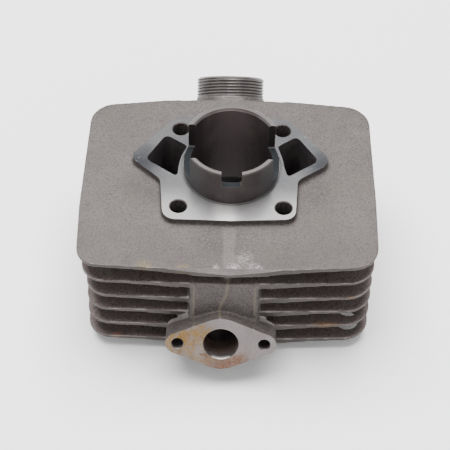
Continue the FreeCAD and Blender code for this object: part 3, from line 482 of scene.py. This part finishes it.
def cast_material():
    """Sand-cast aluminium: warm grey, fine grain, a little stain, brighter where the flash was ground off."""
    k = Nodes("cast_aluminium", 0.3)
    broad, mid, fine, grain = k.noise(0.03, 3), k.noise(0.16, 4, 0.6), k.noise(0.9, 4, 0.7), k.noise(2.2, 3, 0.7)
    color = k.mix(k.step(broad, 0.3, 0.7), (0.130, 0.116, 0.111), (0.158, 0.144, 0.138))
    color = k.mix(k.step(mid, 0.42, 0.72, 0.0, 0.5), color, (0.105, 0.092, 0.090))
    color = k.mix(k.step(fine, 0.38, 0.54, 0.8, 0.0), color, (0.056, 0.046, 0.044))
    color = k.mix(k.step(grain, 0.53, 0.66, 0.0, 0.6), color, (0.33, 0.312, 0.30))
    # Coarser, darker skin round the foot of the gasket pad: dark pits, partly painted shade near the pad's foot.
    top = k.math("MULTIPLY", k.step(k.nz, 0.8, 0.95), k.step(k.z, 62.5, 63.4))
    around = k.math("MAXIMUM", k.spot(-40.0, -10.0, 64.0, 17.0, 0.7, mid, 8.0), k.spot(40.0, -10.0, 64.0, 15.0, 0.7, mid, 8.0))
    around = k.math("MAXIMUM", around, k.spot(-6.0, -42.0, 64.0, 16.0, 0.7, mid, 10.0))
    pits_and_painted_shade = k.math("MULTIPLY", k.math("MULTIPLY", around, top), k.step(k.noise(1.3, 3, 0.7), 0.44, 0.56, 0.7, 0.0))
    color = k.mix(pits_and_painted_shade, color, (0.060, 0.050, 0.049))
    # Darker towards the front edge of the plate's top.
    color = k.mix(k.math("MULTIPLY", top, k.step(k.y, -34.0, -56.0)), color, (0.87, 0.85, 0.85), "MULTIPLY")
    # Ochre tinge in places, and on the flash lines of the intake duct.
    tint = k.step(k.noise(0.09, 3), 0.5, 0.75, 0.0, 0.25)
    color = k.mix(tint, color, (0.165, 0.142, 0.105))
    front = k.math("MULTIPLY", k.step(k.y, -55.5, -57.0), k.math("MULTIPLY", k.step(k.z, 31.0, 34.0), k.step(k.z, 56.0, 52.0)))
    ridge = k.t.nodes.new("ShaderNodeFloatCurve")
    curve = ridge.mapping.curves[0]
    points = [(30, -5.0), (36, -4.6), (41, -3.4), (47, -1.5), (55, -0.6), (63, -0.4)]
    curve.points[0].location = (0.0, (points[0][1] + 6) / 6)
    curve.points[1].location = (1.0, (points[-1][1] + 6) / 6)
    for z, x in points[1:-1]:
        curve.points.new((z - 30) / 33, (x + 6) / 6)
    ridge.mapping.update()
    k.put(ridge.inputs["Value"], k.math("DIVIDE", k.math("SUBTRACT", k.z, 30.0), 33.0, clamp=True))
    line = k.math("ABSOLUTE", k.math("SUBTRACT", k.x, k.math("SUBTRACT", k.math("MULTIPLY", ridge.outputs[0], 6.0), 6.0)))
    stained = k.math("MULTIPLY", front, k.step(line, 0.3, 1.3, 0.7, 0.0))
    color = k.mix(stained, color, (0.235, 0.215, 0.155))
    sides = k.math("MINIMUM", k.math("ABSOLUTE", k.math("ADD", k.x, 16.6)), k.math("ABSOLUTE", k.math("SUBTRACT", k.x, 11.9)))
    color = k.mix(k.math("MULTIPLY", k.math("MULTIPLY", front, k.step(k.z, 50.5, 49.0)), k.step(sides, 0.2, 0.7, 0.45, 0.0)), color, (0.27, 0.245, 0.15))
    # Rust-coloured and ochre marks on the fins' front edges.
    for x, y, z, r, tone in (
        (-54.0, -56.0, 6.9, 3.6, (0.30, 0.13, 0.07)), (47.0, -57.5, 18.0, 9.0, (0.30, 0.17, 0.07)), (58.0, -56.0, 39.0, 3.0, (0.28, 0.17, 0.08)),
        (-40.0, -59.0, 63.6, 6.0, (0.24, 0.19, 0.09)), (-22.0, -60.0, 63.6, 5.0, (0.24, 0.19, 0.09)),
    ):
        spot = k.math("MULTIPLY", k.spot(x, y, z, r, 0.8, mid, 2.0), k.step(fine, 0.42, 0.56, 0.15, 0.85))
        color = k.mix(k.math("MULTIPLY", spot, k.step(k.y, -54.0, -56.0)), color, tone)
    # Ground strip across the top fin in front of the gasket pad.
    strip = k.step(k.math("ABSOLUTE", k.math("ADD", k.math("ADD", k.x, 0.6), k.math("MULTIPLY", k.math("SUBTRACT", mid, 0.5), 3.0))), 2.2, 3.4, 1.0, 0.0)
    strip = k.math("MULTIPLY", k.math("MULTIPLY", strip, top), k.step(k.y, -34.0, -36.0))
    color = k.mix(k.math("MULTIPLY", strip, 0.32), color, (0.215, 0.198, 0.188))
    # Scrapes where the flash was knocked off at the fin's front edge.
    scrape = k.noise(0.8, 4, 0.75, 1.5, stretch=(0.8, 2.6, 1.0))
    fleck = k.math("MAXIMUM", k.spot(-6.5, -59.0, 64.2, 2.2, 0.6), k.spot(2.0, -59.8, 64.0, 5.0, 0.7))
    fleck = k.math("MAXIMUM", fleck, k.spot(11.0, -60.0, 64.0, 5.5, 0.7))
    fleck = k.math("MAXIMUM", fleck, k.math("MULTIPLY", k.spot(6.0, -54.0, 64.0, 7.0, 0.9), 0.6))
    scraped = k.math("MULTIPLY", k.math("MULTIPLY", fleck, k.step(k.z, 62.0, 62.8)), k.step(scrape, 0.51, 0.57))
    color = k.mix(scraped, color, (0.62, 0.61, 0.60))
    # Below the top fin, painted light: the faces that look up are painted lighter, the rims painted darker as shade,
    # with a painted highlight on their upper arris.
    below = k.math("MULTIPLY", k.step(k.z, 61.0, 60.0), k.step(k.y, -63.0, -61.5))
    upper = k.math("MULTIPLY", below, k.step(k.nz, 0.6, 0.85))
    color = k.mix(upper, color, (1.75, 1.62, 1.64), "MULTIPLY")
    beside = k.math("MULTIPLY", k.step(k.y, -48.0, -50.0), k.step(k.math("ABSOLUTE", k.math("ADD", k.x, 2.4)), 16.0, 17.0))
    beside = k.math("MULTIPLY", beside, k.step(k.y, -63.0, -61.5))
    rim = k.math("MULTIPLY", beside, k.step(k.math("ABSOLUTE", k.nz), 0.5, 0.25))
    color = k.mix(rim, color, (0.72, 0.70, 0.71), "MULTIPLY")
    # Painted shade on the front face of the top fin.
    lip = k.math("MULTIPLY", k.step(k.y, -50.0, -53.0), k.math("MULTIPLY", k.step(k.z, 63.7, 63.2), k.step(k.z, 59.8, 60.4)))
    color = k.mix(lip, color, (0.74, 0.70, 0.69), "MULTIPLY")
    # Painted highlight along the upper arris of the rims.
    arris = k.math("MULTIPLY", k.math("MULTIPLY", beside, k.step(k.nz, 0.3, 0.5)), k.step(k.nz, 0.97, 0.85))
    color = k.mix(k.math("MULTIPLY", arris, k.step(mid, 0.35, 0.6, 0.4, 0.85)), color, (0.50, 0.475, 0.46))
    # Worn edges, lightened: wear and a painted highlight on the edges.
    wear_and_edge_highlight = k.step(k.edges(0.35), 0.05, 0.3, 0.0, 0.9)
    wear_and_edge_highlight = k.math("MULTIPLY", wear_and_edge_highlight, k.step(k.noise(0.35, 3), 0.3, 0.6, 0.35, 1.0))
    color = k.mix(wear_and_edge_highlight, color, (0.36, 0.335, 0.32))
    rough = k.step(fine, 0.3, 0.7, 0.5, 0.66)
    rough = k.math("SUBTRACT", rough, k.math("MULTIPLY", k.math("MAXIMUM", scraped, strip), 0.12))
    height = k.math("ADD", k.math("MULTIPLY", fine, 0.7), k.math("ADD", k.math("MULTIPLY", grain, 0.4), k.math("MULTIPLY", k.cells(1.3), 0.4)))
    color = k.mix(1.0, color, (0.53, 0.505, 0.50), "MULTIPLY")
    return k.finish(color, rough, k.bump(height, 0.00030, 0.8))


def pad_material():
    """Face-milled gasket pad: painted reflection brightening it towards the intake side, a painted highlight at the
    front centre, darker blue-grey at the wing tips, with the cutter's arcs.
    """
    k = Nodes("machined_pad", 0.6)
    r = k.math("SQRT", k.math("ADD", k.square(k.x, 9.0), k.square(k.y, 60.0)))
    arcs = k.math("SINE", k.math("MULTIPLY", r, 9.0))
    uneven = k.noise(0.06, 3)
    fine = k.noise(1.4, 4, 0.7)
    color = k.mix(k.step(uneven, 0.3, 0.7), (0.052, 0.053, 0.056), (0.070, 0.069, 0.070))
    # Painted reflection: brighter towards the intake side.
    color = k.mix(k.step(k.y, -10.0, -27.0, 0.0, 0.9), color, (0.205, 0.200, 0.198))
    # Painted highlight in a wedge at the front centre.
    bright = k.math("MULTIPLY", k.step(k.math("ABSOLUTE", k.math("ADD", k.x, 3.0)), 2.0, 8.0, 1.0, 0.0), k.step(k.y, -20.0, -26.0))
    color = k.mix(k.math("MULTIPLY", bright, 0.7), color, (0.40, 0.385, 0.38))
    # Darker at the wing tips.
    tips = k.math("MAXIMUM", k.spot(-45.0, 3.0, 68.0, 17.0, 0.9, uneven, 8.0), k.spot(45.0, 2.0, 68.0, 17.0, 0.9, uneven, 8.0))
    color = k.mix(k.math("MULTIPLY", tips, 0.95), color, (0.008, 0.009, 0.012))
    color = k.mix(k.step(fine, 0.56, 0.7, 0.0, 0.3), color, (0.06, 0.06, 0.062))
    color = k.mix(k.step(k.noise(0.7, 4, 0.75), 0.6, 0.68, 0.0, 0.35), color, (0.24, 0.24, 0.24))
    rough = k.math("ADD", k.step(uneven, 0.3, 0.7, 0.32, 0.42), k.math("MULTIPLY", arcs, 0.02))
    height = k.math("ADD", k.math("MULTIPLY", arcs, 0.2), fine)
    return k.finish(color, rough, k.bump(height, 0.00003, 0.6))


def flange_material():
    """Faced intake flange: turned rings round the bore and ochre oxide creeping in from the edge."""
    k = Nodes("faced_flange", 0.35)
    d = k.math("ADD", k.math("ADD", k.square(k.x, FLANGE_C[0]), k.square(k.y, FLANGE_C[1])), k.square(k.z, FLANGE_C[2]))
    r = k.math("SQRT", d)
    rings = k.math("SINE", k.math("MULTIPLY", r, 2 * math.pi / 1.15))
    fine = k.noise(0.8, 4, 0.7)
    blot = k.noise(0.16, 4, 0.62, 0.8)
    vein = k.noise(0.35, 4, 0.7, 1.6)
    color = k.mix(k.step(k.noise(0.08, 2), 0.3, 0.7), (0.140, 0.121, 0.118), (0.195, 0.173, 0.168))
    color = k.mix(k.step(rings, 0.2, 1.0, 0.0, 0.35), color, (0.085, 0.073, 0.071))
    left = k.spot(-23.0, -74.0, 27.5, 13.0, 0.6, blot, 22.0)
    upper = k.spot(-14.0, -71.5, 31.0, 8.0, 0.7, blot, 14.0)
    low_left = k.spot(-13.0, -77.5, 16.5, 11.0, 0.7, blot, 20.0)
    low = k.spot(1.0, -79.0, 12.0, 15.0, 0.7, blot, 18.0)
    yellow = k.math("MAXIMUM", left, k.math("MAXIMUM", upper, k.math("MULTIPLY", low_left, 0.6)))
    color = k.mix(k.math("MULTIPLY", yellow, k.step(vein, 0.42, 0.60, 1.0, 0.22)), color, (0.170, 0.092, 0.010))
    color = k.mix(k.math("MULTIPLY", low, k.step(vein, 0.40, 0.60, 1.0, 0.55)), color, (0.115, 0.040, 0.010))
    dark = k.math("MULTIPLY", k.math("MAXIMUM", k.math("MAXIMUM", left, low), low_left), k.step(k.noise(0.3, 4, 0.65, 1.0), 0.54, 0.66, 0.0, 0.8))
    color = k.mix(dark, color, (0.075, 0.030, 0.010))
    color = k.mix(k.step(fine, 0.56, 0.70, 0.0, 0.25), color, (0.33, 0.31, 0.30))
    rough = k.math("ADD", k.step(blot, 0.4, 0.6, 0.38, 0.52), k.math("MULTIPLY", rings, 0.04))
    return k.finish(color, rough, k.bump(k.math("ADD", k.math("MULTIPLY", rings, 1.0), k.math("MULTIPLY", fine, 0.6)), 0.00006, 0.8))


def bore_material():
    """Drilled and bored walls: grey, dulled by oil."""
    k = Nodes("bored_wall", 0.5)
    fine = k.noise(0.9, 4, 0.7)
    color = k.mix(k.step(fine, 0.35, 0.7), (0.060, 0.050, 0.048), (0.150, 0.137, 0.132))
    # A painted brownish reflection on the intake bore towards its inner end.
    painted_brown_reflection = k.math("MULTIPLY", k.step(k.y, -74.5, -70.0), k.step(k.math("ABSOLUTE", k.math("ADD", k.x, 3.6)), 10.0, 9.0))
    color = k.mix(k.math("MULTIPLY", painted_brown_reflection, k.step(k.y, -58.0, -61.0)), color, (0.15, 0.105, 0.085))
    # Painted highlight on the arris at the bottom of its mouth.
    s = k.math("ADD", k.math("MULTIPLY", k.math("ADD", k.y, 74.0), -0.93969), k.math("MULTIPLY", k.math("SUBTRACT", k.z, 25.0), 0.34202))
    u = k.math("ADD", k.math("MULTIPLY", k.math("ADD", k.y, 74.0), 0.34202), k.math("MULTIPLY", k.math("SUBTRACT", k.z, 25.0), 0.93969))
    lip = k.math("MULTIPLY", k.step(s, -2.0, -1.2), k.step(u, -6.8, -7.8))
    lip = k.math("MULTIPLY", lip, k.step(k.math("ABSOLUTE", k.math("ADD", k.x, 3.6)), 9.0, 8.6))
    color = k.mix(k.math("MULTIPLY", lip, k.step(fine, 0.35, 0.6, 0.45, 0.95)), color, (0.46, 0.44, 0.42))
    return k.finish(color, k.step(fine, 0.3, 0.7, 0.35, 0.55), k.bump(fine, 0.00008, 0.6))


def thread_material():
    """The cut thread of the exhaust stub."""
    k = Nodes("cut_thread", 0.4)
    fine, mid = k.noise(1.2, 4, 0.7), k.noise(0.2, 3)
    color = k.mix(k.step(mid, 0.3, 0.7), (0.080, 0.071, 0.069), (0.112, 0.101, 0.098))
    color = k.mix(k.step(fine, 0.5, 0.7, 0.0, 0.5), color, (0.050, 0.044, 0.043))
    # Crest edges lightened: wear and a painted highlight.
    wear_and_edge_highlight = k.step(k.edges(0.25), 0.05, 0.3, 0.0, 0.5)
    color = k.mix(wear_and_edge_highlight, color, (0.21, 0.198, 0.193))
    return k.finish(color, k.step(fine, 0.3, 0.7, 0.35, 0.5), k.bump(fine, 0.00005, 0.5))


def passage_material():
    """Cored passages: as cast, darker than the outer skin."""
    k = Nodes("cored_passage", 0.1)
    fine, mid = k.noise(0.9, 4, 0.7), k.noise(0.15, 3)
    color = k.mix(k.step(mid, 0.3, 0.7), (0.028, 0.022, 0.024), (0.055, 0.045, 0.046))
    color = k.mix(k.step(fine, 0.5, 0.7, 0.0, 0.5), color, (0.065, 0.056, 0.055))
    # The exhaust side is grey with dry ash.
    ash = k.math("MULTIPLY", k.step(k.y, 14.0, 18.0, 0.0, 0.85), k.step(k.math("ABSOLUTE", k.x), 17.5, 16.0))
    color = k.mix(ash, color, (0.21, 0.20, 0.19))
    return k.finish(color, k.step(fine, 0.3, 0.7, 0.55, 0.8), k.bump(fine, 0.0002, 0.8))


def liner_material():
    """Centrifugally cast iron: turned outside, honed inside, dark with a film of oil."""
    k = Nodes("cast_iron_liner", 0.3)
    r = k.math("SQRT", k.math("ADD", k.square(k.x, 0.0), k.square(k.y, 0.0)))
    inner = k.step(r, 20.3, 20.05)
    fine, mid = k.noise(1.1, 4, 0.7), k.noise(0.12, 4, 0.6)
    streak = k.noise(0.5, 3, 0.6, stretch=(1.0, 1.0, 0.06))
    turned = k.math("SINE", k.math("MULTIPLY", k.z, 14.0))
    outside = k.mix(k.step(mid, 0.35, 0.7), (0.040, 0.031, 0.030), (0.060, 0.050, 0.048))
    # Painted sheen: greyer towards both sides.
    outside = k.mix(k.step(k.math("ABSOLUTE", k.x), 9.0, 21.0, 0.0, 0.8), outside, (0.066, 0.064, 0.066))
    outside = k.mix(k.step(streak, 0.5, 0.75, 0.0, 0.4), outside, (0.035, 0.028, 0.027))
    honed = k.mix(k.step(mid, 0.35, 0.7), (0.068, 0.053, 0.053), (0.100, 0.081, 0.080))
    honed = k.mix(k.step(streak, 0.52, 0.75, 0.0, 0.5), honed, (0.125, 0.10, 0.098))
    # Painted highlight down the middle of the bore, painted shade at its two sides.
    across = k.math("ABSOLUTE", k.x)
    honed = k.mix(k.step(across, 2.0, 12.0, 0.6, 0.0), honed, (0.130, 0.098, 0.100))
    honed = k.mix(k.step(across, 9.0, 19.0, 0.0, 0.85), honed, (0.026, 0.019, 0.022))
    color = k.mix(inner, outside, honed)
    top = k.step(k.nz, 0.7, 0.95)
    color = k.mix(k.math("MULTIPLY", top, k.step(fine, 0.3, 0.6, 0.6, 0.9)), color, (0.066, 0.057, 0.055))
    ledge = k.math("MULTIPLY", top, k.step(k.z, 81.5, 80.5))
    color = k.mix(ledge, color, (0.012, 0.014, 0.016))
    # Painted shade: the sawn sides of the notches are painted dark.
    wall = k.math("MULTIPLY", k.math("MULTIPLY", k.step(r, 20.1, 20.25), k.step(r, 22.95, 22.8)), k.step(k.nz, 0.6, 0.3))
    color = k.mix(wall, color, (0.018, 0.014, 0.014))
    # Rim edges above the deck lightened: wear and a painted highlight.
    wear_and_edge_highlight = k.step(k.edges(0.35), 0.06, 0.3, 0.0, 0.42)
    color = k.mix(k.math("MULTIPLY", wear_and_edge_highlight, k.step(k.z, 68.5, 70.0)), color, (0.13, 0.118, 0.112))
    rough = k.math("ADD", k.step(mid, 0.3, 0.7, 0.34, 0.46), k.math("MULTIPLY", turned, 0.02))
    rough = k.math("ADD", rough, k.math("MULTIPLY", ledge, 0.35))
    k.put(k.p.inputs["Specular IOR Level"], k.step(ledge, 0.0, 1.0, 0.5, 0.15))
    height = k.math("ADD", k.math("MULTIPLY", turned, 0.35), fine)
    return k.finish(color, rough, k.bump(height, 0.00004, 0.6))


cast_material()
pad_material()
flange_material()
bore_material()
thread_material()
passage_material()
finish_faces(jacket, ["cast_aluminium", "machined_pad", "faced_flange", "bored_wall", "cut_thread", "cored_passage"])
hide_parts("finned_jacket")
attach(jacket, "root")

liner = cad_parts["cylinder_liner"]
liner.data.materials.clear()
liner.data.materials.append(liner_material())

# ---- floor and light ----------------------------------------------------------------------------
mesh = bpy.data.meshes.new("floor")
mesh.from_pydata([(-3, -3, -0.0005), (3, -3, -0.0005), (3, 3, -0.0005), (-3, 3, -0.0005)], [], [(0, 1, 2, 3)])
floor = bpy.data.objects.new("floor", mesh)
scene.collection.objects.link(floor)
k = Nodes("pale_floor")
mesh.materials.append(k.finish((0.96, 0.96, 0.96), 0.95))

world = bpy.data.worlds.new("studio")
world.use_nodes = True
world.node_tree.nodes["Background"].inputs["Color"].default_value = (1, 1, 1, 1)
world.node_tree.nodes["Background"].inputs["Strength"].default_value = 0.62
scene.world = world


def area(name, at, to, size, power):
    light = bpy.data.lights.new(name, "AREA")
    light.shape = "RECTANGLE"
    light.size, light.size_y = size
    light.energy = power
    o = bpy.data.objects.new(name, light)
    o.location = at
    o.rotation_euler = (Vector(to) - Vector(at)).to_track_quat("-Z", "Y").to_euler()
    scene.collection.objects.link(o)
    return o


area("top", (-0.1, 0.25, 1.3), (0, 0, 0.03), (1.3, 1.1), 63)
area("front", (0.35, -1.2, 0.9), (0, 0, 0.03), (0.9, 0.6), 4.5)
